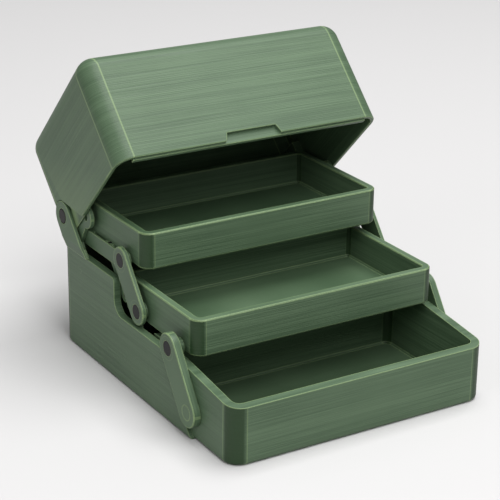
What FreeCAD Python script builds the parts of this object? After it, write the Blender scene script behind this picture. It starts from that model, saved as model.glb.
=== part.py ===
import FreeCAD, Part
import os
import re
import Sketcher

# Cantilever organizer box, shown open: a low front bin joined to a taller rear bay, two trays that
# swing over the bin on parallel arms, and a lid hinged on two brackets at the rear.
# Millimetres. X runs across the box, -Y is the front, Z is up, and Z = 0 is the underside.

doc = FreeCAD.newDocument("OrganizerBox")
sizes = doc.addObject("Spreadsheet::Sheet", "Sizes")
worked = doc.addObject("Spreadsheet::Sheet", "Worked")
sheet_of = {}


def spelled(text):
    """The formula with each size's sheet put before its name."""
    return re.sub(r"[a-z]\w*", lambda word: sheet_of.get(word[0], "") + word[0], text)


def write_cell(sheet, name, text):
    row = sum(owner == sheet.Name + "." for owner in sheet_of.values()) + 1
    sheet.set(f"A{row}", name)
    sheet.set(f"B{row}", text)
    sheet.setAlias(f"B{row}", name)
    sheet_of[name] = sheet.Name + "."


def give(name, number):
    """One driving size, kept as a plain number."""
    write_cell(sizes, name, str(number))


def work(name, formula):
    """One size that follows from others, kept as their formula."""
    write_cell(worked, name, "=" + spelled(formula))


def read(name):
    """The present number of a size, or zero where no size is named."""
    if not name:
        return 0.0
    sheet = sizes if sheet_of[name] == "Sizes." else worked
    held = sheet.get(name)
    return float(getattr(held, "Value", held))


# The driving sizes, in millimetres and degrees
SIZES = {
    # Base: outer form, walls and rim heights
    "base_len": 188.6,
    "bin_width": 159.6,
    "skin_step": 2.2,
    "base_corner": 9.3,
    "base_wall": 4.9,
    "base_floor": 2.6,
    "foot_round": 2.4,
    "skin_foot_round": 1.8,
    "rim_front": 32.5,
    "rim_mid": 39.7,
    "rim_rear": 59.9,
    "slope_start_y": -34,
    "tall_start_y": 28.8,
    "step_round": 8,
    "step_top_round": 2.8,
    "bin_length": 77.6,
    "bay_wall": 4.2,
    "floor_chamfer": 1,
    "slot_front_y": -33,
    "slot_bottom": 11,
    "rim_chamfer": 0.5,
    # Trays
    "tray_side_gap": 3.9,
    "tray_depth": 81,
    "tray_height": 20.8,
    "tray_wall": 4.5,
    "tray_floor": 2,
    "tray_corner": 6.7,
    "tray_foot_chamfer": 1,
    "middle_front_y": -50.7,
    "middle_bottom": 42.3,
    "upper_front_y": 4.4,
    "upper_bottom": 71.3,
    "boss_radius": 4.5,
    "boss_root_half": 3.1,
    # Arms: pivots of the front arms, and the way from each to the pivots of its parallel rear arm
    "lower_pivot_y": -55.3,
    "lower_pivot_z": 15.9,
    "lower_head_y": -35.4,
    "lower_head_z": 44.4,
    "lower_pitch": 50.4,
    "lower_lift": 1,
    "upper_pivot_y": 4.7,
    "upper_pivot_z": 49.1,
    "upper_head_y": 23.2,
    "upper_head_z": 72.3,
    "upper_pitch": 20,
    "upper_lift": 1.7,
    "lower_arm_end": 8.3,
    "upper_arm_end": 7.6,
    "rear_arm_end": 4,
    "rear_arm_thick": 1.3,
    "upper_arm_thick": 2.3,
    "edge_chamfer": 0.4,
    # Sideways layers outside the trays, and the gaps between them
    "side_gap": 0.2,
    "rail_thick": 1,
    # Pins
    "pin_radius": 3,
    "pin_cap_radius": 4.1,
    "pin_cap_depth": 0.8,
    "small_pin_radius": 1.6,
    "running_fit": 0.05,
    "seat_fit": 0.02,
    "pin_seat": 3,
    "boss_back": 1,
    # Rails on the upper tray
    "rail_front_y": 29,
    "rail_rear_y": 76,
    "rail_bottom": 65.9,
    "rail_top": 75.2,
    "rail_pad_length": 14,
    # Lid, drawn closed about its pin and turned open by the angle
    "lid_pin_y": 87.8,
    "lid_pin_z": 77.5,
    "lid_pin_back": 88,
    "lid_pin_up": 12.2,
    "lid_overhang": 2,
    "lid_depth": 99.6,
    "lid_height": 66,
    "lid_corner": 10.5,
    "lid_top_round": 10,
    "lid_wall": 2.6,
    "lid_open_angle": 45.5,
    "lug_radius": 7,
    "lug_half": 5,
    "web_low": 8.9,
    "web_high": 17.9,
    "notch_end": 8.9,
    "notch_reach": 30,
    "pull_width": 36,
    "pull_height": 5,
    "pull_depth": 1.5,
    "pull_slant": 2.5,
    # Lid brackets and their rivets
    "bracket_foot_y": 71.4,
    "bracket_foot_z": 50,
    "bracket_end": 8.3,
    "branch_y": 74,
    "branch_z": 68,
    "branch_end": 3,
    "ear_y": 64,
    "ear_z": 84,
    "ear_radius": 6.6,
    "ear_hole": 2.2,
    "socket_gap": 0.1,
    "rivet_radius": 2,
    "rivet_bite": 0.5,
}

for size_name in SIZES:
    give(size_name, SIZES[size_name])

doc.recompute()

work("base_half", "base_len / 2")
work("base_front_y", "-base_half")
work("bin_half", "bin_width / 2")
work("skin_half", "bin_half + skin_step")
work("bin_front_y", "base_wall - base_half")
work("bin_rear_y", "bin_front_y + bin_length")
work("bay_front_y", "bin_rear_y + base_wall")
work("bay_rear_y", "base_half - base_wall")
work("bay_half", "skin_half - bay_wall")
work("tray_half", "bin_half - tray_side_gap")
work("rear_arm_in", "tray_half + side_gap")
work("rear_arm_out", "rear_arm_in + rear_arm_thick")
work("rail_in", "rear_arm_out + side_gap")
work("rail_out", "rail_in + rail_thick")
work("upper_arm_in", "rail_out + side_gap")
work("upper_arm_out", "upper_arm_in + upper_arm_thick")
work("lower_arm_in", "bin_half + side_gap")
work("lower_arm_out", "skin_half + skin_step")
work("boss_stop", "tray_half + boss_back")
work("socket_out", "upper_arm_out + socket_gap")
work("socket_end", "bracket_end + socket_gap")
work("pin_hole", "pin_radius + running_fit")
work("pin_grip", "pin_radius + seat_fit")
work("cap_hole", "pin_cap_radius + running_fit")
work("cap_sink", "pin_cap_depth + running_fit")
work("small_hole", "small_pin_radius + running_fit")
work("small_grip", "small_pin_radius + seat_fit")
work("rivet_grip", "rivet_radius + seat_fit")
work("lower_rear_y", "lower_pivot_y + lower_pitch")
work("lower_rear_z", "lower_pivot_z + lower_lift")
work("lower_rear_head_y", "lower_head_y + lower_pitch")
work("lower_rear_head_z", "lower_head_z + lower_lift")
work("upper_rear_y", "upper_pivot_y + upper_pitch")
work("upper_rear_z", "upper_pivot_z + upper_lift")
work("upper_rear_head_y", "upper_head_y + upper_pitch")
work("upper_rear_head_z", "upper_head_z + upper_lift")
work("lower_lean", "atan2(lower_head_y - lower_pivot_y; lower_head_z - lower_pivot_z)")
work("shoulder_off", "lower_arm_end + side_gap")
work("shoulder_low_y", "lower_pivot_y + shoulder_off / cos(lower_lean) - lower_pivot_z * tan(lower_lean)")
work("shoulder_top_y", "shoulder_low_y + rim_mid * tan(lower_lean)")
work("lid_half", "skin_half + lid_overhang")
work("lid_rear", "lid_depth - lid_pin_back")
work("lid_top", "lid_height - lid_pin_up")
work("lug_out", "upper_arm_in - side_gap")
work("bracket_angle", "atan2(bracket_foot_z - lid_pin_z; bracket_foot_y - lid_pin_y)")
work("notch_angle", "bracket_angle + lid_open_angle * 1 deg")
work("notch_y", "notch_reach * cos(notch_angle)")
work("notch_z", "notch_reach * sin(notch_angle)")
work("pull_half", "pull_width / 2")
work("pull_left", "-pull_half")
work("pull_top_half", "pull_half - pull_slant")
work("pull_top_left", "-pull_top_half")
work("pull_low_z", "-lid_pin_up - 1")
work("pull_top_z", "pull_height - lid_pin_up")
doc.recompute()

SIDES = ("left", "right")

# Helpers for features and sketches


def bind(thing, place, text):
    """Ties one property of an object to a formula of the named sizes."""
    thing.setExpression(place, spelled(text))


def new_body(name):
    body = doc.addObject("PartDesign::Body", name)
    body.Label = name
    return body


def mirrored(side, low, high):
    """The span between two distances from the middle, on the left or the right side."""
    return (low, high) if side == "right" else (f"-({high})", f"-({low})")


def block(body, name, cut, across, along, up):
    """A box feature between two formulas on each axis, added to the body or cut from it."""
    kind = "PartDesign::SubtractiveBox" if cut else "PartDesign::AdditiveBox"
    box = body.newObject(kind, name)
    for axis, side, (low, high) in zip("xyz", ("Length", "Width", "Height"), (across, along, up)):
        bind(box, side, f"({high}) - ({low})")
        bind(box, f"Placement.Base.{axis}", low)
    doc.recompute()
    return box


def lay_along_x(bar, across, centre, radius):
    """Sets a cylinder along X between two formulas, about a centre that is a pair of names."""
    bar.Placement.Rotation = FreeCAD.Rotation(FreeCAD.Vector(0, 1, 0), 90)
    bind(bar, "Radius", radius)
    bind(bar, "Height", f"({across[1]}) - ({across[0]})")
    for axis, text in zip("xyz", (across[0], *centre)):
        if text:
            bind(bar, f"Placement.Base.{axis}", text)


def rod(body, name, cut, across, centre, radius):
    """A round feature along X, added to the body or cut from it."""
    kind = "PartDesign::SubtractiveCylinder" if cut else "PartDesign::AdditiveCylinder"
    bar = body.newObject(kind, name)
    lay_along_x(bar, across, centre, radius)
    doc.recompute()
    return bar


def flat_sketch(body, name, role, offset):
    """A sketch parallel to one of the body's own planes, at a distance along its normal."""
    sketch = body.newObject("Sketcher::SketchObject", name)
    plane = next(part for part in body.Origin.OriginFeatures if part.Role == role)
    sketch.AttachmentSupport = [(plane, "")]
    sketch.MapMode = "FlatFace"
    bind(sketch, "AttachmentOffset.Base.z", offset)
    return sketch


def tie_point(sketch, edge, end, label, names):
    """Holds one end or centre of a sketch edge at two named sizes, or on an axis where none is named."""
    for kind, axis, letter, name in zip(("DistanceX", "DistanceY"), (-2, -1), "UV", names):
        if not name:
            sketch.addConstraint(Sketcher.Constraint("PointOnObject", edge, end, axis))
            continue
        place = sketch.addConstraint(Sketcher.Constraint(kind, -1, 1, edge, end, read(name)))
        sketch.renameConstraint(place, label + letter)
        bind(sketch, f"Constraints.{label}{letter}", name)


def polygon(sketch, corners):
    """A closed outline through corners that are given as pairs of named sizes."""
    points = [FreeCAD.Vector(read(u), read(v), 0) for u, v in corners]
    count = len(points)
    for i, point in enumerate(points):
        sketch.addGeometry(Part.LineSegment(point, points[(i + 1) % count]))
    for i in range(count):
        sketch.addConstraint(Sketcher.Constraint("Coincident", i, 2, (i + 1) % count, 1))
    for i, names in enumerate(corners):
        tie_point(sketch, i, 1, f"corner{i}", names)
    return sketch


def capsule(sketch, first, second, radius):
    """A bar outline with round ends about two pivots, each a pair of named sizes."""
    start, stop = (FreeCAD.Vector(read(u), read(v), 0) for u, v in (first, second))
    lean = (stop - start).normalize()
    out = FreeCAD.Vector(-lean.y, lean.x, 0)
    reach = read(radius)
    for centre, way in ((start, out), (stop, -out)):
        circle = Part.Circle(centre, FreeCAD.Vector(0, 0, 1), reach)
        begin = circle.parameter(centre + way * reach)
        end = circle.parameter(centre - way * reach)
        sketch.addGeometry(Part.ArcOfCircle(circle, begin, end))
    sketch.addGeometry(Part.LineSegment(start - out * reach, stop - out * reach))
    sketch.addGeometry(Part.LineSegment(stop + out * reach, start + out * reach))
    for meeting in ((0, 2, 2, 1), (2, 2, 1, 1), (1, 2, 3, 1), (3, 2, 0, 1)):
        sketch.addConstraint(Sketcher.Constraint("Tangent", *meeting))
    sketch.addConstraint(Sketcher.Constraint("Equal", 0, 1))
    place = sketch.addConstraint(Sketcher.Constraint("Radius", 0, reach))
    sketch.renameConstraint(place, "end")
    bind(sketch, "Constraints.end", radius)
    tie_point(sketch, 0, 3, "first", first)
    tie_point(sketch, 1, 3, "second", second)
    return sketch


def pad(body, name, sketch, length):
    feature = body.newObject("PartDesign::Pad", name)
    feature.Profile = sketch
    bind(feature, "Length", length)
    doc.recompute()
    return feature


def pocket(body, name, sketch, length):
    """A cut from the sketch against its normal."""
    feature = body.newObject("PartDesign::Pocket", name)
    before = body.Shape.Volume
    feature.Profile = sketch
    feature.Reversed = False
    bind(feature, "Length", length)
    doc.recompute()
    if not feature.Shape.Volume < before - 1:
        raise ValueError(f"{body.Label} {feature.Name} cuts nothing")
    return feature


def dress_edges(body, kind, name, side, size, test):
    """Puts a fillet or a chamfer on the edges of the body's last feature that pass the test."""
    base = body.Tip
    names = [f"Edge{i + 1}" for i, edge in enumerate(base.Shape.Edges) if test(edge)]
    if not names:
        raise ValueError(f"{body.Label} {name} finds no edge")
    feature = body.newObject(f"PartDesign::{kind}", name)
    feature.Base = (base, names)
    bind(feature, side, size)
    doc.recompute()
    return feature


def round_edges(body, name, radius, test):
    return dress_edges(body, "Fillet", name, "Radius", radius, test)


def chamfer_edges(body, name, size, test):
    return dress_edges(body, "Chamfer", name, "Size", size, test)


def near(value, other):
    return abs(value - other) < 0.01


def upright(edge):
    return edge.BoundBox.XLength < 0.01 and edge.BoundBox.YLength < 0.01


def level(edge, height):
    return near(edge.BoundBox.ZMin, height) and near(edge.BoundBox.ZMax, height)


def in_face(side, x_name):
    """A test for the edges that lie in the plane at this distance from the middle."""
    place = read(x_name) if side == "right" else -read(x_name)
    return lambda edge: near(edge.BoundBox.XMin, place) and near(edge.BoundBox.XMax, place)


# Base: the front bin and the rear bay in one moulding, with skins outside the bay


def make_base():
    body = new_body("base_box")
    half = read("base_half")
    hull = polygon(flat_sketch(body, "hull_outline", "YZ_Plane", "-bin_half"), [
        ("base_front_y", ""), ("base_half", ""), ("base_half", "rim_mid"),
        ("slope_start_y", "rim_mid"), ("base_front_y", "rim_front")])
    pad(body, "hull", hull, "bin_width")
    round_edges(body, "front_corners", "base_corner", lambda edge: upright(edge) and edge.CenterOfMass.y < 0)
    round_edges(body, "hull_foot_round", "foot_round",
                lambda edge: level(edge, 0) and not near(edge.CenterOfMass.y, half))
    skins = polygon(flat_sketch(body, "skin_outline", "YZ_Plane", "-skin_half"), [
        ("shoulder_low_y", ""), ("base_half", ""), ("base_half", "rim_rear"),
        ("tall_start_y", "rim_rear"), ("tall_start_y", "rim_mid"), ("shoulder_top_y", "rim_mid")])
    pad(body, "skins", skins, "2 * skin_half")
    round_edges(body, "rear_corners", "base_corner", lambda edge: upright(edge) and near(edge.CenterOfMass.y, half))
    round_edges(body, "skin_foot_rounds", "skin_foot_round",
                lambda edge: level(edge, 0) and edge.CenterOfMass.y > 0
                and (near(abs(edge.CenterOfMass.x), read("skin_half")) or edge.CenterOfMass.y > half - 9))

    step = read("tall_start_y")
    for name, radius, height in (("step_foot", "step_round", "rim_mid"), ("step_top", "step_top_round", "rim_rear")):
        round_edges(body, name, radius, lambda edge: edge.BoundBox.XLength > 100 and level(edge, read(height))
                    and near(edge.CenterOfMass.y, step))

    block(body, "bin_cavity", True, ("base_wall - bin_half", "bin_half - base_wall"),
          ("bin_front_y", "bin_rear_y"), ("base_floor", "rim_rear + 1"))
    block(body, "bay_cavity", True, ("-bay_half", "bay_half"),
          ("bay_front_y", "bay_rear_y"), ("base_floor", "rim_rear + 1"))
    floor = read("base_floor")
    round_edges(body, "cavity_corners", "base_corner - base_wall",
                lambda edge: upright(edge) and near(edge.BoundBox.ZMin, floor))
    chamfer_edges(body, "floor_chamfer", "floor_chamfer", lambda edge: level(edge, floor))

    for side in SIDES:
        block(body, f"arm_slot_{side}", True, mirrored(side, "rear_arm_in - side_gap", "bay_half"),
              ("slot_front_y", "bay_front_y + base_corner"), ("slot_bottom", "rim_rear + 1"))
        rod(body, f"front_pivot_seat_{side}", True, mirrored(side, "bin_half - pin_seat", "bin_half + 1"),
            ("lower_pivot_y", "lower_pivot_z"), "pin_grip")
        rod(body, f"rear_pivot_seat_{side}", True, mirrored(side, "bay_half - 1", "bay_half + pin_seat"),
            ("lower_rear_y", "lower_rear_z"), "small_grip")
        low, high = mirrored(side, "bay_half - 1", "socket_out")
        socket = capsule(flat_sketch(body, f"socket_outline_{side}", "YZ_Plane", high),
                         ("bracket_foot_y", "bracket_foot_z"), ("lid_pin_y", "lid_pin_z"), "socket_end")
        pocket(body, f"bracket_socket_{side}", socket, f"({high}) - ({low})")
        rod(body, f"rivet_hole_{side}", True, mirrored(side, "upper_arm_out", "socket_out + rivet_bite"),
            ("bracket_foot_y", "bracket_foot_z"), "rivet_grip")
    return body


# Trays: each stands off its front arms on bosses, and is drilled for the pins of the rear arms


def make_tray(name, front, bottom, bosses, drilled):
    body = new_body(name)
    foot = read(bottom)
    floor = foot + read("tray_floor")
    block(body, "hull", False, ("-tray_half", "tray_half"), (front, f"{front} + tray_depth"),
          (bottom, f"{bottom} + tray_height"))
    round_edges(body, "corners", "tray_corner", upright)
    chamfer_edges(body, "foot_chamfer", "tray_foot_chamfer", lambda edge: level(edge, foot))
    block(body, "cavity", True, ("tray_wall - tray_half", "tray_half - tray_wall"),
          (f"{front} + tray_wall", f"{front} + tray_depth - tray_wall"),
          (f"{bottom} + tray_floor", f"{bottom} + tray_height + 1"))
    round_edges(body, "cavity_corners", "tray_corner - tray_wall",
                lambda edge: upright(edge) and near(edge.BoundBox.ZMin, floor))
    chamfer_edges(body, "floor_chamfer", "floor_chamfer", lambda edge: level(edge, floor))
    chamfer_edges(body, "rim_chamfer", "rim_chamfer", lambda edge: level(edge, foot + read("tray_height")))

    for side in SIDES:
        for y, z, reach in bosses:
            block(body, "boss_root", False, mirrored(side, "tray_half - 1", "rear_arm_in + 0.1"),
                  (f"{y} - boss_root_half", f"{y} + boss_root_half"), (f"{z} + side_gap", f"{z} + boss_root_half"))
            rod(body, "boss", False, mirrored(side, "rear_arm_in", reach), (y, z), "boss_radius")
            rod(body, "boss_seat", True, mirrored(side, "boss_stop", f"{reach} + 1"), (y, z), "pin_grip")
        for y, z in drilled:
            rod(body, "small_seat", True, mirrored(side, "tray_half - pin_seat", "tray_half + 1"), (y, z),
                "small_grip")
    return body


# Arms: flat bars with round ends, drilled at both pivots; the front arms sink a seat for each cap


def make_arm(name, side, span, low, high, end, hole, capped):
    body = new_body(f"{name}_{side}")
    across = mirrored(side, *span)
    outline = capsule(flat_sketch(body, "outline", "YZ_Plane", across[0]), low, high, end)
    pad(body, "bar", outline, f"({across[1]}) - ({across[0]})")
    if capped:
        chamfer_edges(body, "outer_chamfer", "edge_chamfer", in_face(side, span[1]))
    for pivot in (low, high):
        rod(body, "hole", True, (f"{across[0]} - 1", f"{across[1]} + 1"), pivot, hole)
        if capped:
            rod(body, "cap_seat", True, mirrored(side, f"{span[1]} - cap_sink", f"{span[1]} + 1"), pivot, "cap_hole")
    return body


# Rails: the bar along each side of the upper tray, held off it by a pad at its rear end


def make_rail(side):
    body = new_body(f"upper_tray_rail_{side}")
    block(body, "bar", False, mirrored(side, "rail_in", "rail_out"),
          ("rail_front_y", "rail_rear_y"), ("rail_bottom", "rail_top"))
    block(body, "pad", False, mirrored(side, "tray_half", "rail_in + 0.1"),
          ("rail_rear_y - rail_pad_length", "rail_rear_y"), ("upper_bottom + tray_foot_chamfer", "rail_top"))
    return body


# Lid brackets: a long eye for the lid pin, and a shorter ear that branches from it


def make_bracket(side):
    body = new_body(f"lid_bracket_{side}")
    across = mirrored(side, "upper_arm_in", "upper_arm_out")
    through = (f"{across[0]} - 1", f"{across[1]} + 1")
    pin = ("lid_pin_y", "lid_pin_z")
    ear = ("ear_y", "ear_z")
    main = capsule(flat_sketch(body, "main_outline", "YZ_Plane", across[0]),
                   ("bracket_foot_y", "bracket_foot_z"), pin, "bracket_end")
    pad(body, "main_bar", main, "upper_arm_thick")
    branch = capsule(flat_sketch(body, "branch_outline", "YZ_Plane", across[0]),
                     ("branch_y", "branch_z"), ear, "branch_end")
    pad(body, "branch", branch, "upper_arm_thick")
    rod(body, "ear", False, across, ear, "ear_radius")
    rod(body, "ear_hole", True, through, ear, "ear_hole")
    rod(body, "pin_hole", True, through, pin, "pin_hole")
    rod(body, "cap_seat", True, mirrored(side, "upper_arm_out - cap_sink", "upper_arm_out + 1"), pin, "cap_hole")
    rod(body, "rivet_hole", True, through, ("bracket_foot_y", "bracket_foot_z"), "rivet_grip")
    return body


# Lid: a deep shell, notched at the rear so that the bracket's eye shows, with a lug inside each notch


def make_lid():
    body = new_body("lid")
    block(body, "hull", False, ("-lid_half", "lid_half"), ("-lid_pin_back", "lid_rear"), ("-lid_pin_up", "lid_top"))
    round_edges(body, "corners", "lid_corner", upright)
    round_edges(body, "top_rounds", "lid_top_round", lambda edge: level(edge, read("lid_top")))
    hull = body.Tip
    shell = body.newObject("PartDesign::Thickness", "shell")
    mouth = min(range(len(hull.Shape.Faces)), key=lambda i: hull.Shape.Faces[i].CenterOfMass.z)
    shell.Base = (hull, [f"Face{mouth + 1}"])
    shell.Reversed = True
    bind(shell, "Value", "lid_wall")
    doc.recompute()
    chamfer_edges(body, "rim_chamfer", "rim_chamfer", lambda edge: level(edge, -read("lid_pin_up")))
    recess = polygon(flat_sketch(body, "pull_outline", "XZ_Plane", "lid_pin_back"), [
        ("pull_left", "pull_low_z"), ("pull_half", "pull_low_z"),
        ("pull_top_half", "pull_top_z"), ("pull_top_left", "pull_top_z")])
    pocket(body, "finger_pull", recess, "pull_depth")

    for side in SIDES:
        lug = mirrored(side, "rear_arm_in", "lug_out")
        along = ("-lug_half", "lug_half")
        block(body, "web", False, mirrored(side, "rear_arm_in", "lid_half - lid_wall + 0.8"), along,
              ("web_low", "web_high"))
        block(body, "upright", False, lug, along, ("pin_radius", "web_high"))
        rod(body, "lug", False, lug, ("", ""), "lug_radius")
        rod(body, "lug_seat", True, mirrored(side, "rear_arm_in - 1", "lug_out + 1"), ("", ""), "pin_grip")
        low, high = mirrored(side, "lug_out", "lid_half + 1")
        notch = capsule(flat_sketch(body, "notch_outline", "YZ_Plane", high), ("", ""), ("notch_y", "notch_z"),
                        "notch_end")
        pocket(body, "notch", notch, f"({high}) - ({low})")
    body.Placement.Rotation = FreeCAD.Rotation(FreeCAD.Vector(-1, 0, 0), read("lid_open_angle"))
    bind(body, "Placement.Rotation.Angle", "lid_open_angle")
    bind(body, "Placement.Base.y", "lid_pin_y")
    bind(body, "Placement.Base.z", "lid_pin_z")
    doc.recompute()
    return body


# Pins: each kind is one node that holds its pins as separate solids


def cylinder(name, across, centre, radius):
    bar = doc.addObject("Part::Cylinder", name)
    lay_along_x(bar, across, centre, radius)
    return bar


def make_pins(name, centres, shank, radius, head=None, head_radius=None):
    """Equal pins on both sides at each centre: a shank, with a wider head where one is given."""
    pins = []
    for side in SIDES:
        for centre in centres:
            pin = cylinder(f"{name}_shank", mirrored(side, *shank), centre, radius)
            if head:
                joined = doc.addObject("Part::Fuse", f"{name}_pin")
                joined.Base = pin
                joined.Tool = cylinder(f"{name}_head", mirrored(side, *head), centre, head_radius)
                pin = joined
            pins.append(pin)
    group = doc.addObject("Part::Compound", name)
    group.Label = name
    group.Links = pins
    doc.recompute()
    return group


def make_capped_pins(name, centre, start, face):
    """Pins from a seat out to a face, with a cap that lies flush in the face."""
    return make_pins(name, [centre], (start, f"{face} - 0.4"), "pin_radius",
                     (f"{face} - pin_cap_depth", face), "pin_cap_radius")


LOWER_FOOT = ("lower_pivot_y", "lower_pivot_z")
LOWER_HEAD = ("lower_head_y", "lower_head_z")
LOWER_REAR_FOOT = ("lower_rear_y", "lower_rear_z")
LOWER_REAR_HEAD = ("lower_rear_head_y", "lower_rear_head_z")
UPPER_FOOT = ("upper_pivot_y", "upper_pivot_z")
UPPER_HEAD = ("upper_head_y", "upper_head_z")
UPPER_REAR_FOOT = ("upper_rear_y", "upper_rear_z")
UPPER_REAR_HEAD = ("upper_rear_head_y", "upper_rear_head_z")
LID_PIN = ("lid_pin_y", "lid_pin_z")
REAR_SPAN = ("rear_arm_in", "rear_arm_out")

nodes = [make_base()]
nodes.append(make_tray("middle_tray", "middle_front_y", "middle_bottom",
                       [(*LOWER_HEAD, "lower_arm_in"), (*UPPER_FOOT, "upper_arm_in")],
                       [LOWER_REAR_HEAD, UPPER_REAR_FOOT]))
nodes.append(make_tray("upper_tray", "upper_front_y", "upper_bottom",
                       [(*UPPER_HEAD, "upper_arm_in")], [UPPER_REAR_HEAD]))
nodes.append(make_lid())
for side in SIDES:
    nodes.append(make_arm("lower_front_arm", side, ("lower_arm_in", "lower_arm_out"), LOWER_FOOT, LOWER_HEAD,
                          "lower_arm_end", "pin_hole", True))
    nodes.append(make_arm("upper_front_arm", side, ("upper_arm_in", "upper_arm_out"), UPPER_FOOT, UPPER_HEAD,
                          "upper_arm_end", "pin_hole", True))
    nodes.append(make_arm("lower_rear_arm", side, REAR_SPAN, LOWER_REAR_FOOT, LOWER_REAR_HEAD,
                          "rear_arm_end", "small_hole", False))
    nodes.append(make_arm("upper_rear_arm", side, REAR_SPAN, UPPER_REAR_FOOT, UPPER_REAR_HEAD,
                          "rear_arm_end", "small_hole", False))
    nodes.append(make_rail(side))
    nodes.append(make_bracket(side))

in_wall = "bin_half - pin_seat + seat_fit"
in_boss = "boss_stop + seat_fit"
in_tray = "tray_half - pin_seat + seat_fit"
in_bay = "bay_half + pin_seat - seat_fit"
nodes.append(make_capped_pins("lower_arm_pivot_pins", LOWER_FOOT, in_wall, "lower_arm_out"))
nodes.append(make_capped_pins("middle_tray_front_pins", LOWER_HEAD, in_boss, "lower_arm_out"))
nodes.append(make_capped_pins("upper_arm_pivot_pins", UPPER_FOOT, in_boss, "upper_arm_out"))
nodes.append(make_capped_pins("upper_tray_front_pins", UPPER_HEAD, in_boss, "upper_arm_out"))
nodes.append(make_capped_pins("lid_hinge_pins", LID_PIN, "rear_arm_in", "upper_arm_out"))
nodes.append(make_pins("lower_rear_pivot_pins", [LOWER_REAR_FOOT], ("rear_arm_in", in_bay), "small_pin_radius"))
nodes.append(make_pins("middle_tray_rear_pins", [LOWER_REAR_HEAD], (in_tray, "rear_arm_out"), "small_pin_radius"))
nodes.append(make_pins("upper_rear_pivot_pins", [UPPER_REAR_FOOT], (in_tray, "rear_arm_out"), "small_pin_radius"))
nodes.append(make_pins("upper_tray_rear_pins", [UPPER_REAR_HEAD], (in_tray, "rear_arm_out"), "small_pin_radius"))
nodes.append(make_pins("bracket_rivets", [("bracket_foot_y", "bracket_foot_z")],
                       ("upper_arm_in", "socket_out + rivet_bite - seat_fit"), "rivet_radius"))

# Every feature is checked before a file is written

doc.recompute()
for thing in doc.Objects:
    if "Invalid" in thing.State or "Error" in thing.State:
        raise ValueError(f"{thing.Name} is {thing.State}")

os.makedirs("parts", exist_ok=True)
for node in nodes:
    shape = node.Shape
    if shape.isNull() or not shape.isValid():
        raise ValueError(f"{node.Label} has no valid shape")
    shape.exportStep(f"parts/{node.Label}.step")
    box = shape.BoundBox
    print(f"{node.Label:24s} solids {len(shape.Solids)}  volume {shape.Volume:10.1f}  "
          f"X {box.XMin:7.2f} {box.XMax:7.2f}  Y {box.YMin:7.2f} {box.YMax:7.2f}  Z {box.ZMin:7.2f} {box.ZMax:7.2f}")
print(len(nodes), "nodes")
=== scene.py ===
# %% [markdown]
# A cantilever organizer box, printed in satin green plastic and shown open. Most of its shapes come
# from the imported model, which is loaded here as a fixed frame. What a render needs on top of them is
# the finish: the print lines, the painted highlights on the edges and the black pins. A few pieces
# are made here too: the brackets' outer plates, the lid with its milled walls and front lip, and the
# upper rear arms.

# %% The frame
import bpy
import bmesh
from math import cos, radians, sin
from mathutils import Matrix, Vector


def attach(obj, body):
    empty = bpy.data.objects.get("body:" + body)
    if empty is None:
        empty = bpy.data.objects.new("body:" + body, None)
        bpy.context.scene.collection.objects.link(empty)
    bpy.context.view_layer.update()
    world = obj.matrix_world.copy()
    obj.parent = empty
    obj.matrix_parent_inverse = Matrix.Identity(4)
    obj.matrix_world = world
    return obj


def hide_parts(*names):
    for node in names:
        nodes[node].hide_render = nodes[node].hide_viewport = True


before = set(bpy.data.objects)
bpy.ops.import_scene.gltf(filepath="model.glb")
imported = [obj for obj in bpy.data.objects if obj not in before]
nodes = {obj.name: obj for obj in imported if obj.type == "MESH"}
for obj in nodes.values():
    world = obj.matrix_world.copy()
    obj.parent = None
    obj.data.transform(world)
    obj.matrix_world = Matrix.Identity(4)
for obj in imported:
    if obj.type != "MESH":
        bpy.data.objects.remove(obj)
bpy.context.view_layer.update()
MM = 0.001

# %% [markdown]
# The photograph was taken from the front left with a long lens, a little above the box. A long
# lens keeps the trays' edges nearly parallel, so the camera stands far off and its lens is narrow.

# %% Camera
CAMERA_PLACE = Vector((-0.46935, -0.74336, 0.41763))
CAMERA_TURN = (radians(68.4503), radians(-0.6922), radians(-31.2867))
SENSOR = 36.0
LENS = 123.165

lens = bpy.data.cameras.new("camera")
lens.sensor_width = SENSOR
lens.lens = LENS
camera = bpy.data.objects.new("camera", lens)
camera.location = CAMERA_PLACE
camera.rotation_euler = CAMERA_TURN
bpy.context.scene.collection.objects.link(camera)
bpy.context.scene.camera = camera
print("camera stands", round(CAMERA_PLACE.length, 3), "m from the frame's origin")

# %% [markdown]
# Every finish below is a tree of shader nodes. Small helpers keep the trees readable. They add a
# node with its settings and inputs, mix two colours, stretch a value, and calculate with two values.

# %% Helpers for shader nodes


def add(tree, kind, settings=(), **inputs):
    """Adds a shader node. An input is named as in the editor with _ for a space, or i and its number."""
    node = tree.nodes.new("ShaderNode" + kind)
    for name, value in dict(settings).items():
        setattr(node, name, value)
    for name, value in inputs.items():
        socket = node.inputs[int(name[1:])] if name[1:].isdigit() else node.inputs[name.replace("_", " ")]
        if isinstance(value, bpy.types.NodeSocket):
            tree.links.new(value, socket)
        else:
            socket.default_value = value
    return node


def blend_colours(tree, factor, first, second):
    mix = add(tree, "Mix", {"data_type": "RGBA"}, i0=factor, i6=first, i7=second)
    return mix.outputs[2]


def ranged(tree, value, low, high, to_low, to_high):
    """Stretches the part of a value between low and high, and holds it at the ends."""
    node = add(tree, "MapRange", {}, Value=value, From_Min=low, From_Max=high, To_Min=to_low, To_Max=to_high)
    return node.outputs["Result"]


def calculate(tree, operation, first, second=0):
    return add(tree, "Math", {"operation": operation}, i0=first, i1=second).outputs[0]


# %% [markdown]
# A printed part is a stack of thin layers, so its walls carry fine level lines that differ a little
# from layer to layer. Drawing each line as a shape would take millions of faces. Noise that is
# squeezed along the stack and drawn out along the layer gives them instead, with broader bands and
# a faint mottle under them. A piece that was printed tilted has its lines turned with it.

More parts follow.
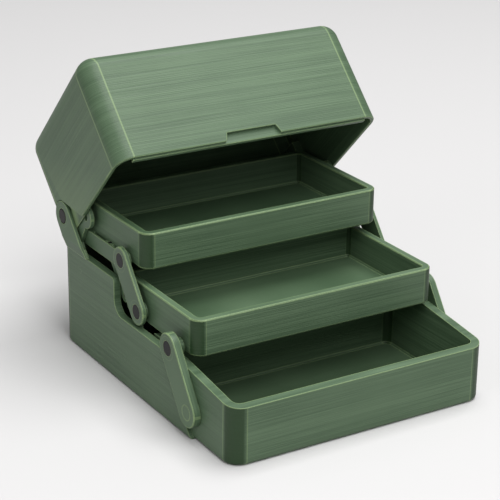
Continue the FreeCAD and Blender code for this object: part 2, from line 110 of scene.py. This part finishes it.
# %% Print lines
LAYERS_PER_M = 2300
STREAKS_PER_M = 11
LAYERS_IN_BAND = 6
BAND_STREAKS_PER_M = 6
LAYER_DETAIL = 2.0
LINE_ROUGHNESS = 0.55
BAND_ROUGHNESS = 0.5
MOTTLES_PER_M = 30.0
MOTTLE_DETAIL = 4.0
LINE_SHARE = 0.6
BAND_SHARE = 0.3
MOTTLE_SHARE = 0.1


def layer_noise(tree, turned, streaks, layers, roughness):
    """Noise with so many streaks to the metre along a layer, and so many layers to the metre."""
    drawn = add(tree, "Mapping", {}, Vector=turned, Scale=(streaks, streaks, layers)).outputs[0]
    noise = add(tree, "TexNoise", {}, Vector=drawn, Scale=1.0, Detail=LAYER_DETAIL, Roughness=roughness)
    return noise.outputs[0]


def print_lines(tree, place, turn):
    """The fine lines, the mottle, and the tone that lines, bands and mottle make together."""
    turned = add(tree, "Mapping", {}, Vector=place, Rotation=turn).outputs[0]
    lines = layer_noise(tree, turned, STREAKS_PER_M, LAYERS_PER_M, LINE_ROUGHNESS)
    bands = layer_noise(tree, turned, BAND_STREAKS_PER_M, LAYERS_PER_M / LAYERS_IN_BAND, BAND_ROUGHNESS)
    mottle = add(tree, "TexNoise", {}, Vector=place, Scale=MOTTLES_PER_M, Detail=MOTTLE_DETAIL).outputs[0]
    line_part = calculate(tree, "MULTIPLY", lines, LINE_SHARE)
    band_part = calculate(tree, "MULTIPLY", bands, BAND_SHARE)
    mottle_part = calculate(tree, "MULTIPLY", mottle, MOTTLE_SHARE)
    tone = calculate(tree, "ADD", calculate(tree, "ADD", line_part, band_part), mottle_part)
    return lines, mottle, tone


# %% [markdown]
# On the real box the rounded upright corners look darker than the flat walls, and a light line runs
# where a corner meets a wall. Both follow from which way the surface faces the light, so here they are
# painted: painted shade on the corners and a painted highlight along the seam. The product of the
# normal's two level parts is zero on a wall and largest halfway round a corner.

# %% Painted shade and highlights on rounded corners
# The colour of the painted corner shade, the pale green of the painted highlights and print rings, and the
# strength of the painted highlight along the seams.
CORNER_SHADE_GREEN = (0.012, 0.037, 0.009, 1)
GREEN_HIGHLIGHT_AND_RING = (0.235, 0.330, 0.150, 1)
SEAM_HIGHLIGHT = 0.55
CORNER_STARTS, CORNER_FULL = 0.04, 0.25
SEAM_STARTS, SEAM_FULL = 0.0, 0.03
SEAM_FADES, SEAM_ENDS = 0.06, 0.12


def painted_corner_light(tree, body, turn, corner_shade):
    """The body's colour with painted shade on the corners and a painted highlight on the seams beside them.
    """
    normal = add(tree, "TexCoord").outputs["Normal"]
    facing = add(tree, "Mapping", {}, Vector=normal, Rotation=turn).outputs[0]
    parts = add(tree, "SeparateXYZ", {}, Vector=facing).outputs
    slant = calculate(tree, "ABSOLUTE", calculate(tree, "MULTIPLY", parts[0], parts[1]))
    # Painted shade on the corners, then a painted highlight along the seams.
    corner = ranged(tree, slant, CORNER_STARTS, CORNER_FULL, 0.0, corner_shade)
    body = blend_colours(tree, corner, body, CORNER_SHADE_GREEN)
    rise = ranged(tree, slant, SEAM_STARTS, SEAM_FULL, 0.0, SEAM_HIGHLIGHT)
    fall = ranged(tree, slant, SEAM_FADES, SEAM_ENDS, 1.0, 0.0)
    return blend_colours(tree, calculate(tree, "MULTIPLY", rise, fall), body, GREEN_HIGHLIGHT_AND_RING)


# %% [markdown]
# Round each black pin the arm shows a dark gap, whose shade is painted as a dark ring, and further out
# a faint pale ring where the print lines run round the hole. Both are too fine to be worth faces, so
# they are thin rings in the colour, measured from the pivot's axis.

# %% Print rings and painted gap shade about the pins
RING_RADIUS = 6.4 * MM
RING_HALF = 0.3 * MM
RING_LIGHT = 0.22
# The dark ring in the gap is painted shade.
GAP_RADIUS = 4.3 * MM
GAP_HALF = 0.35 * MM
GAP_SHADE_AMOUNT = 0.95
GAP_SHADE_COLOUR = (0.004, 0.006, 0.004, 1)


def ring_round(tree, place, pivot, radius, half, amount):
    """The amount where a point lies on the thin ring about a pivot, and zero elsewhere."""
    beside = add(tree, "VectorMath", {"operation": "MULTIPLY"}, i0=place, i1=(0, 1, 1)).outputs[0]
    axis = (0, pivot[0] * MM, pivot[1] * MM)
    away = add(tree, "VectorMath", {"operation": "DISTANCE"}, i0=beside, i1=axis).outputs["Value"]
    off = calculate(tree, "ABSOLUTE", calculate(tree, "SUBTRACT", away, radius))
    return ranged(tree, off, 0.0, half, amount, 0.0)


def pin_rings(tree, place, body, pivots):
    """The body's colour with a pale print ring and the painted shade of the gap about each pivot."""
    for pivot in pivots:
        ring = ring_round(tree, place, pivot, RING_RADIUS, RING_HALF, RING_LIGHT)
        body = blend_colours(tree, ring, body, GREEN_HIGHLIGHT_AND_RING)
        # Painted shade in the gap round the pin.
        gap_shade = ring_round(tree, place, pivot, GAP_RADIUS, GAP_HALF, GAP_SHADE_AMOUNT)
        body = blend_colours(tree, gap_shade, body, GAP_SHADE_COLOUR)
    return body


# %% [markdown]
# The box's outer edges catch the light as thin pale lines, which are painted here as highlights. The
# shader's bevel rounds every sharp edge a little, and where it turns the surface, a painted highlight
# lightens the edge. Inner edges stay plain: there the surface sees little of the room, which the
# occlusion node measures.

# %% Painted highlights on edges
EDGE_RADIUS = 0.7 * MM
# How strongly the painted highlight lightens the outer edges.
EDGE_HIGHLIGHT = 0.9
EDGE_STARTS, EDGE_FULL = 0.999, 0.97
BEVEL_SAMPLES = 6
OPENNESS_SAMPLES = 4
OUTER_EDGE_REACH = 4 * MM
INNER_OPENNESS, OUTER_OPENNESS = 0.55, 0.85
INNER_EDGE_SHARE = 0.1


def rounded_normal(tree):
    return add(tree, "Bevel", {"samples": BEVEL_SAMPLES}, Radius=EDGE_RADIUS).outputs[0]


def edge_highlight(tree, rounded):
    """How much painted highlight a point on an outer edge gets, from the angle between the rounded and the
    flat normal.
    """
    flat = add(tree, "NewGeometry").outputs["Normal"]
    along = add(tree, "VectorMath", {"operation": "DOT_PRODUCT"}, i0=rounded, i1=flat).outputs["Value"]
    edge = ranged(tree, along, EDGE_STARTS, EDGE_FULL, 0.0, EDGE_HIGHLIGHT)
    sides = add(tree, "AmbientOcclusion", {"samples": OPENNESS_SAMPLES}, Distance=OUTER_EDGE_REACH)
    outer = ranged(tree, sides.outputs["AO"], INNER_OPENNESS, OUTER_OPENNESS, INNER_EDGE_SHARE, 1.0)
    return calculate(tree, "MULTIPLY", edge, outer)


# %% [markdown]
# The printed plastic puts these parts together. The same lines that tint the colour also raise the
# surface a little and change its gloss from layer to layer, as they do on the real box.

# %% Printed plastic
GREEN = (0.086, 0.142, 0.078, 1)
GREEN_DARK = (0.050, 0.092, 0.047, 1)
TONE_MIDDLE = 0.5
TONE_SPREAD = 0.09
MOTTLE_HEIGHT = 0.15
LINE_DEPTH = 0.2 * MM
LINE_LOW, LINE_HIGH = 0.3, 0.7
GLOSSY_LINE, DULL_LINE = 0.42, 0.56
PLASTIC_SPECULAR = 0.4


def printed_plastic(name, turn=(0, 0, 0), line_bump=0.9, corner_shade=0.0, pivots=()):
    """Plastic printed in layers. The turn brings the layers of a tilted print level."""
    material = bpy.data.materials.new(name)
    material.use_nodes = True
    tree = material.node_tree
    shader = tree.nodes["Principled BSDF"]
    place = add(tree, "TexCoord").outputs["Object"]
    lines, mottle, tone = print_lines(tree, place, turn)
    light = ranged(tree, tone, TONE_MIDDLE - TONE_SPREAD, TONE_MIDDLE + TONE_SPREAD, 0.0, 1.0)
    body = blend_colours(tree, light, GREEN_DARK, GREEN)
    # Painted shade on the rounded corners and painted highlights beside them.
    body = painted_corner_light(tree, body, turn, corner_shade)
    # Pale print rings and the painted shade of the gaps round the pins.
    body = pin_rings(tree, place, body, pivots)
    rounded = rounded_normal(tree)
    # Painted highlight on the outer edges.
    colour = blend_colours(tree, edge_highlight(tree, rounded), body, GREEN_HIGHLIGHT_AND_RING)
    height = calculate(tree, "ADD", lines, calculate(tree, "MULTIPLY", mottle, MOTTLE_HEIGHT))
    bump = add(tree, "Bump", {}, Strength=line_bump, Distance=LINE_DEPTH, Height=height, Normal=rounded)
    gloss = ranged(tree, lines, LINE_LOW, LINE_HIGH, GLOSSY_LINE, DULL_LINE)
    tree.links.new(colour, shader.inputs["Base Color"])
    tree.links.new(bump.outputs[0], shader.inputs["Normal"])
    tree.links.new(gloss, shader.inputs["Roughness"])
    shader.inputs["Specular IOR Level"].default_value = PLASTIC_SPECULAR
    print("made", name)
    return material


# %% [markdown]
# The lines on the base and the trays are level. Those on the lid run as if it was printed closed
# way up, so they tilt with it now that it is open. The arms, rails and brackets show hardly any, as
# if printed lying flat, and they carry the rings. A pivot is given by its Y and Z in millimetres.

# %% Green pieces
LID_TILT = 45.5
LID_CORNER_SHADE = 0.15
FLAT_PRINT_BUMP = 0.3
LID_PIN = (87.8, 77.5)
PIVOTS = ((-35.4, 44.4), (4.7, 49.1), (23.2, 72.3), LID_PIN)


def dress(material, *names):
    """Gives a material to nodes of the frame."""
    for name in names:
        node = nodes[name]
        node.data.materials.clear()
        node.data.materials.append(material)


upright_print = printed_plastic("green_level_lines", corner_shade=1.0)
lid_print = printed_plastic("green_lid_lines", turn=(radians(LID_TILT), 0, 0), corner_shade=LID_CORNER_SHADE)
flat_print = printed_plastic("green_flat_print", turn=(0, radians(90), 0), line_bump=FLAT_PRINT_BUMP,
                             pivots=PIVOTS)
dress(upright_print, "base_box", "middle_tray", "upper_tray")
dress(lid_print, "lid")

ARMS = [f"{kind}_{side}" for side in ("left", "right")
        for kind in ("lower_front_arm", "upper_front_arm", "lower_rear_arm", "upper_rear_arm",
                     "upper_tray_rail", "lid_bracket")]
dress(flat_print, *ARMS)
print("arms, rails and brackets:", len(ARMS))

# %% [markdown]
# The pins are dark plastic. They are nearly black and a little rough, and only the lowest pair is
# green like the arms it holds.

# %% Pins
PIN_BLACK = (0.004, 0.004, 0.004, 1)
PIN_GREY = (0.009, 0.009, 0.009, 1)
GRAINS_PER_M = 700.0
GRAIN_DETAIL = 3.0
GRAIN_LOW, GRAIN_HIGH = 0.35, 0.65
GRAIN_BUMP = 0.3
GRAIN_DEPTH = 0.1 * MM
PIN_ROUGHNESS = 0.45
PIN_SPECULAR = 0.18


def pin_plastic():
    material = bpy.data.materials.new("pin_black")
    material.use_nodes = True
    tree = material.node_tree
    shader = tree.nodes["Principled BSDF"]
    place = add(tree, "TexCoord").outputs["Object"]
    grain = add(tree, "TexNoise", {}, Vector=place, Scale=GRAINS_PER_M, Detail=GRAIN_DETAIL).outputs[0]
    colour = blend_colours(tree, ranged(tree, grain, GRAIN_LOW, GRAIN_HIGH, 0.0, 1.0), PIN_BLACK, PIN_GREY)
    bump = add(tree, "Bump", {}, Strength=GRAIN_BUMP, Distance=GRAIN_DEPTH, Height=grain,
               Normal=rounded_normal(tree))
    tree.links.new(colour, shader.inputs["Base Color"])
    tree.links.new(bump.outputs[0], shader.inputs["Normal"])
    shader.inputs["Roughness"].default_value = PIN_ROUGHNESS
    shader.inputs["Specular IOR Level"].default_value = PIN_SPECULAR
    print("made", material.name)
    return material


black_pin = pin_plastic()
dress(black_pin, "middle_tray_front_pins", "upper_arm_pivot_pins", "upper_tray_front_pins", "lid_hinge_pins",
      "lower_rear_pivot_pins", "middle_tray_rear_pins", "upper_rear_pivot_pins", "upper_tray_rear_pins",
      "bracket_rivets")
dress(flat_print, "lower_arm_pivot_pins")

# %% [markdown]
# The brackets' plates, the pins' heads and the cutters for them are flat shapes that stand across
# the box, along X. Each is the hull round a few circles, given in millimetres, which follows a
# lever's outline with very few numbers.

# %% Prisms along X
CIRCLE_STEPS = 48
FLAT_WITHIN = radians(1)
TURN_TO_X = Matrix.Rotation(radians(90), 4, "Y")


def hull_prism(circles, low, high):
    """A prism along X, from low to high, round circles given as (y, z, radius)."""
    shape = bmesh.new()
    for x in (low, high):
        for y, z, radius in circles:
            place = Matrix.Translation(Vector((x, y, z)) * MM) @ TURN_TO_X
            bmesh.ops.create_circle(shape, segments=CIRCLE_STEPS, radius=radius * MM, matrix=place)
    hull = bmesh.ops.convex_hull(shape, input=shape.verts[:])
    inside = hull["geom_interior"] + hull["geom_unused"]
    spare = {item for item in inside if isinstance(item, bmesh.types.BMVert)}
    bmesh.ops.delete(shape, geom=list(spare), context="VERTS")
    bmesh.ops.dissolve_limit(shape, angle_limit=FLAT_WITHIN, verts=shape.verts[:], edges=shape.edges[:])
    return shape


# %% [markdown]
# A plate is then cut off level where it meets the base, and its outer edges are bevelled. A cut
# that keeps both halves only adds the line along which the plate can bend.

# %% Cuts and bevels
LEVEL = (0, 0, 1)
CUT_TOLERANCE = 1e-7
SAME_PLACE = 1e-6
SIDE_FACE = 0.5
BEVEL_STEPS = 2


def cut_level(shape, height, keep):
    """Cuts a shape at a height and closes it. Keep is above, below or both."""
    everything = shape.verts[:] + shape.edges[:] + shape.faces[:]
    cut = bmesh.ops.bisect_plane(shape, geom=everything, dist=CUT_TOLERANCE, plane_co=(0, 0, height * MM),
                                 plane_no=LEVEL, clear_outer=keep == "below", clear_inner=keep == "above")
    if keep != "both":
        rim = [item for item in cut["geom_cut"] if isinstance(item, bmesh.types.BMEdge)]
        bmesh.ops.contextual_create(shape, geom=rim)


def bevel_edges(shape, edges, width):
    bmesh.ops.bevel(shape, geom=edges, offset=width * MM, segments=BEVEL_STEPS, profile=0.5, affect="EDGES",
                    material=-1)


def round_face_edges(shape, x, width):
    """Bevels the outline of the face that lies at x."""
    outline = [edge for edge in shape.edges if all(abs(v.co.x - x * MM) < SAME_PLACE for v in edge.verts)
               and any(abs(face.normal.x) < SIDE_FACE for face in edge.link_faces)]
    bevel_edges(shape, outline, width)


# %% [markdown]
# A shape becomes a piece when it gets its mesh, its material and the body that it rides on. Holes
# and recesses are milled: a cutter's space is taken out of the piece with an exact Boolean, whose
# result is kept as the piece's own mesh. Flat faces stay flat because the shading is weighted by
# their size, and only edges under an angle are smoothed.

# %% Making and milling pieces
SHARP_FROM = 30


def make_object(name, shape, material):
    """Turns a shape into an object with a material."""
    bmesh.ops.recalc_face_normals(shape, faces=shape.faces[:])
    mesh = bpy.data.meshes.new(name)
    shape.to_mesh(mesh)
    shape.free()
    mesh.materials.append(material)
    made = bpy.data.objects.new(name, mesh)
    bpy.context.scene.collection.objects.link(made)
    return made


def make_piece(name, shape, material, body):
    """Turns a shape into a piece that rides on a body of the frame."""
    piece = make_object(name, shape, material)
    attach(piece, body)
    return piece


def mill(piece, shape):
    """Takes a shape's space out of a piece."""
    cutter = make_object("cutter", shape, piece.data.materials[0])
    milled = piece.modifiers.new("milled", "BOOLEAN")
    milled.operation = "DIFFERENCE"
    milled.object = cutter
    milled.solver = "EXACT"
    evaluated = piece.evaluated_get(bpy.context.evaluated_depsgraph_get())
    mesh = bpy.data.meshes.new_from_object(evaluated)
    piece.modifiers.clear()
    piece.data = mesh
    bpy.data.objects.remove(cutter)


def shade_smooth(piece, sharp_from=SHARP_FROM):
    """Smooths the shading over every edge that turns less than an angle in degrees."""
    piece.data.polygons.foreach_set("use_smooth", [True] * len(piece.data.polygons))
    piece.data.set_sharp_from_angle(angle=radians(sharp_from))
    weighted = piece.modifiers.new("weighted", "WEIGHTED_NORMAL")
    weighted.keep_sharp = True
    print("made", piece.name, len(piece.data.polygons), "faces")


# %% [markdown]
# Each lid bracket is a fork: its inner plate, with the ear, is in the frame, and its outer plate
# shows beside the lid with the pin's head in its eye. The thin skin of the lid's wall slides between
# the two, and a web below joins them. The outer plate leans in a little towards its foot.

# %% Outer plates of the brackets
SIDES = (("left", -1), ("right", 1))
CUT_OVER = 1
FACE_FOOT = (64.3, 50.0)
FACE_END = 9.6
BRACKET_END = 8.9
BRACKET_OUTLINE = ((*LID_PIN, BRACKET_END), (*FACE_FOOT, FACE_END))
PLATE_LOW, PLATE_HIGH = 82.2, 84.1
PLATE_FOOT_Z = 60.1
PLATE_BEVEL = 0.45
BEND_Z = 66.0
BEND_IN = 0.9
BEND_NEAR = 0.1
WEB_LOW, WEB_HIGH = 81.0, 82.3
FORK_Z = 64.4
HEAD_LOW, HEAD_HIGH = 81.0, 84.2
HEAD_RADIUS = 4.1
HEAD_HOLE = 4.45
HEAD_BEVEL = 0.35


def bend_foot(plate, sign):
    """Moves the outer edge of a plate's foot in towards the base."""
    low = (PLATE_FOOT_Z + BEND_NEAR) * MM
    out = (PLATE_HIGH - BEND_NEAR) * MM
    foot = [v for v in plate.verts if v.co.z < low and abs(v.co.x) > out]
    bmesh.ops.translate(plate, verts=foot, vec=(-sign * BEND_IN * MM, 0, 0))


for side, sign in SIDES:
    plate = hull_prism(BRACKET_OUTLINE, sign * PLATE_LOW, sign * PLATE_HIGH)
    cut_level(plate, PLATE_FOOT_Z, "above")
    cut_level(plate, BEND_Z, "both")
    bend_foot(plate, sign)
    round_face_edges(plate, sign * PLATE_HIGH, PLATE_BEVEL)
    face = make_piece(f"bracket_face_{side}", plate, flat_print, "base")
    hole = ((*LID_PIN, HEAD_HOLE),)
    mill(face, hull_prism(hole, sign * (PLATE_LOW - CUT_OVER), sign * (PLATE_HIGH + CUT_OVER)))
    shade_smooth(face)

    web = hull_prism(BRACKET_OUTLINE, sign * WEB_LOW, sign * WEB_HIGH)
    cut_level(web, PLATE_FOOT_Z, "above")
    cut_level(web, FORK_Z, "below")
    shade_smooth(make_piece(f"bracket_web_{side}", web, flat_print, "base"))

    head = hull_prism(((*LID_PIN, HEAD_RADIUS),), sign * HEAD_LOW, sign * HEAD_HIGH)
    round_face_edges(head, sign * HEAD_HIGH, HEAD_BEVEL)
    shade_smooth(make_piece(f"lid_pin_head_{side}", head, black_pin, "lid"))

# %% [markdown]
# The lid starts as a copy of the frame's own shape. Its side walls are milled back from outside
# where the outer plates sweep between open and closed, so the cutter is the hull of a plate's
# places on the way. The mesh from the frame is loose triangles, so its copy is merged first.

# %% The lid's milled walls
MERGE_WITHIN = 1e-6
COPY_FLAT_WITHIN = radians(0.2)
SKIN_OUT = 82.0
MILL_REACH = 6
SWEEP_REACH = 30
SWEEP_RADIUS = 9.4
SWEEP_STEPS = 6
OPEN_ANGLE = 239.2
SHUT_ANGLE = 183.0


def merged_copy(name):
    """The shape of a node of the frame, with its loose triangles joined."""
    shape = bmesh.new()
    shape.from_mesh(nodes[name].data)
    bmesh.ops.remove_doubles(shape, verts=shape.verts[:], dist=MERGE_WITHIN)
    bmesh.ops.dissolve_limit(shape, angle_limit=COPY_FLAT_WITHIN, verts=shape.verts[:], edges=shape.edges[:])
    return shape


pin_y, pin_z = LID_PIN
sweep = [(pin_y, pin_z, SWEEP_RADIUS)]
for step in range(SWEEP_STEPS):
    angle = radians(OPEN_ANGLE + (SHUT_ANGLE - OPEN_ANGLE) * step / (SWEEP_STEPS - 1))
    sweep.append((pin_y + SWEEP_REACH * cos(angle), pin_z + SWEEP_REACH * sin(angle), SWEEP_RADIUS))
lid_shell = make_piece("lid_shell", merged_copy("lid"), lid_print, "lid")
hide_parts("lid")
for side, sign in SIDES:
    mill(lid_shell, hull_prism(sweep, sign * SKIN_OUT, sign * (SKIN_OUT + MILL_REACH)))
print("milled both walls of the lid over", round(OPEN_ANGLE - SHUT_ANGLE, 1), "degrees")

# %% [markdown]
# The finger pull is cut right through the lid's front wall, and its floor is the lip that stiffens
# the rim from inside. Both are boxes drawn in the closed lid, measured from its pin, and then
# turned open with it.

# %% Finger pull and front lip
LID_FRONT = -88.0
LID_RIM = -12.2
LID_WALL = 2.6
LID_INNER = LID_FRONT + LID_WALL
LID_SHARP_FROM = 35
PULL_HALF, PULL_TOP_HALF, PULL_HEIGHT = 18.0, 15.5, 5.0
PULL_THROUGH = 0.05
LIP_HALF, LIP_DEPTH, LIP_HEIGHT, LIP_DROP = 74.5, 2.3, 5.2, 0.9
LIP_TAPER = 2
LIP_SINK = 0.4
LIP_BEVEL = 0.4


def box_in_lid(half, front, back, low, high, top_half):
    """A box across the lid, narrowed towards its top, in the place that it has on the open lid."""
    middle = Vector((0, (front + back) / 2, (low + high) / 2)) * MM
    shape = bmesh.new()
    bmesh.ops.create_cube(shape, size=2 * MM)
    bmesh.ops.scale(shape, verts=shape.verts[:], vec=(half, (back - front) / 2, (high - low) / 2))
    bmesh.ops.translate(shape, verts=shape.verts[:], vec=middle)
    top = [v for v in shape.verts if v.co.z > middle.z]
    bmesh.ops.scale(shape, verts=top, vec=(top_half / half, 1, 1))
    tilt = Matrix.Rotation(radians(-LID_TILT), 3, "X")
    bmesh.ops.rotate(shape, verts=shape.verts[:], cent=(0, 0, 0), matrix=tilt)
    bmesh.ops.translate(shape, verts=shape.verts[:], vec=Vector((0, *LID_PIN)) * MM)
    return shape


pull = box_in_lid(PULL_HALF, LID_FRONT - CUT_OVER, LID_INNER + PULL_THROUGH, LID_RIM - CUT_OVER,
                  LID_RIM + PULL_HEIGHT, PULL_TOP_HALF)
mill(lid_shell, pull)
shade_smooth(lid_shell, LID_SHARP_FROM)

lip = box_in_lid(LIP_HALF, LID_INNER - LIP_SINK, LID_INNER + LIP_DEPTH, LID_RIM - LIP_DROP,
                 LID_RIM + LIP_HEIGHT, LIP_HALF - LIP_TAPER)
bevel_edges(lip, lip.edges[:], LIP_BEVEL)
shade_smooth(make_piece("lid_front_lip", lip, lid_print, "lid"))

# %% [markdown]
# The head of each upper rear arm is flat on top, level with the rail that covers it. The frame's
# arm has a round head, so a merged copy of it is cut off level and takes its place.

# %% Upper rear arms
REAR_HEAD_TOP = 75.2

for side, sign in SIDES:
    arm = merged_copy(f"upper_rear_arm_{side}")
    cut_level(arm, REAR_HEAD_TOP, "below")
    bar = make_piece(f"rear_arm_bar_{side}", arm, flat_print, "upper_rear_arms")
    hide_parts(f"upper_rear_arm_{side}")
    shade_smooth(bar)

# %% [markdown]
# The box stands on a pale matt sheet, which is a plain square that reaches far past the picture. It
# belongs to the stage and not to the box.

# %% Floor
FLOOR_HALF = 3.0
FLOOR_COLOUR = (0.55, 0.545, 0.545, 1)
FLOOR_ROUGHNESS = 0.9
FLOOR_SPECULAR = 0.1

sheet = bmesh.new()
bmesh.ops.create_grid(sheet, x_segments=1, y_segments=1, size=FLOOR_HALF)
sheet_mesh = bpy.data.meshes.new("floor")
sheet.to_mesh(sheet_mesh)
sheet.free()
floor = bpy.data.objects.new("floor", sheet_mesh)
bpy.context.scene.collection.objects.link(floor)

paper = bpy.data.materials.new("pale_paper")
paper.use_nodes = True
paper_shader = paper.node_tree.nodes["Principled BSDF"]
paper_shader.inputs["Base Color"].default_value = FLOOR_COLOUR
paper_shader.inputs["Roughness"].default_value = FLOOR_ROUGHNESS
paper_shader.inputs["Specular IOR Level"].default_value = FLOOR_SPECULAR
sheet_mesh.materials.append(paper)
print("floor is", 2 * FLOOR_HALF, "m wide")

# %% [markdown]
# A wide lamp overhead gives the soft shadow, a weaker one lights the front and the trays' floors,
# and a faint one from the left lifts the arms' side. Each lamp is given by its place in metres, the
# height on the box that it aims at, the side of its square in metres, and its power in watts.

# %% Lamps
LAMPS = {
    "overhead": ((0.5, -0.05, 2.4), 0.05, 1.7, 63),
    "front": ((-0.3, -1.3, 1.6), 0.08, 1.0, 22),
    "left": ((-1.7, -0.5, 0.9), 0.08, 1.0, 5),
}


def area_lamp(name, place, aim_height, size, watts):
    light = bpy.data.lights.new(name, "AREA")
    light.shape = "SQUARE"
    light.size = size
    light.energy = watts
    lamp = bpy.data.objects.new(name, light)
    lamp.location = place
    towards = Vector((0, 0, aim_height)) - Vector(place)
    lamp.rotation_euler = towards.to_track_quat("-Z", "Y").to_euler()
    bpy.context.scene.collection.objects.link(lamp)
    print("lamp", name, watts, "W")


for lamp_name, settings in LAMPS.items():
    area_lamp(lamp_name, *settings)

# %% [markdown]
# The room gives the rest of the light, evenly from all sides. Beyond the sheet it is seen paler
# than it shines. The world does that for straight views alone, so that it puts no more light on
# the box.

# %% Room
ROOM_COLOUR = (1.0, 1.0, 1.0, 1)
ROOM_STRENGTH = 0.36
SEEN_COLOUR = (0.83, 0.825, 0.825, 1)

world = bpy.data.worlds.new("room")
bpy.context.scene.world = world
world.use_nodes = True
room = world.node_tree.nodes["Background"]
room.inputs["Color"].default_value = ROOM_COLOUR
room.inputs["Strength"].default_value = ROOM_STRENGTH
seen = add(world.node_tree, "Background", {}, Color=SEEN_COLOUR, Strength=1.0)
straight = add(world.node_tree, "LightPath").outputs["Is Camera Ray"]
either = add(world.node_tree, "MixShader", {}, i0=straight, i1=room.outputs[0], i2=seen.outputs[0])
world.node_tree.links.new(either.outputs[0], world.node_tree.nodes["World Output"].inputs["Surface"])
bpy.context.scene.view_settings.view_transform = "Standard"
print("room strength", ROOM_STRENGTH)
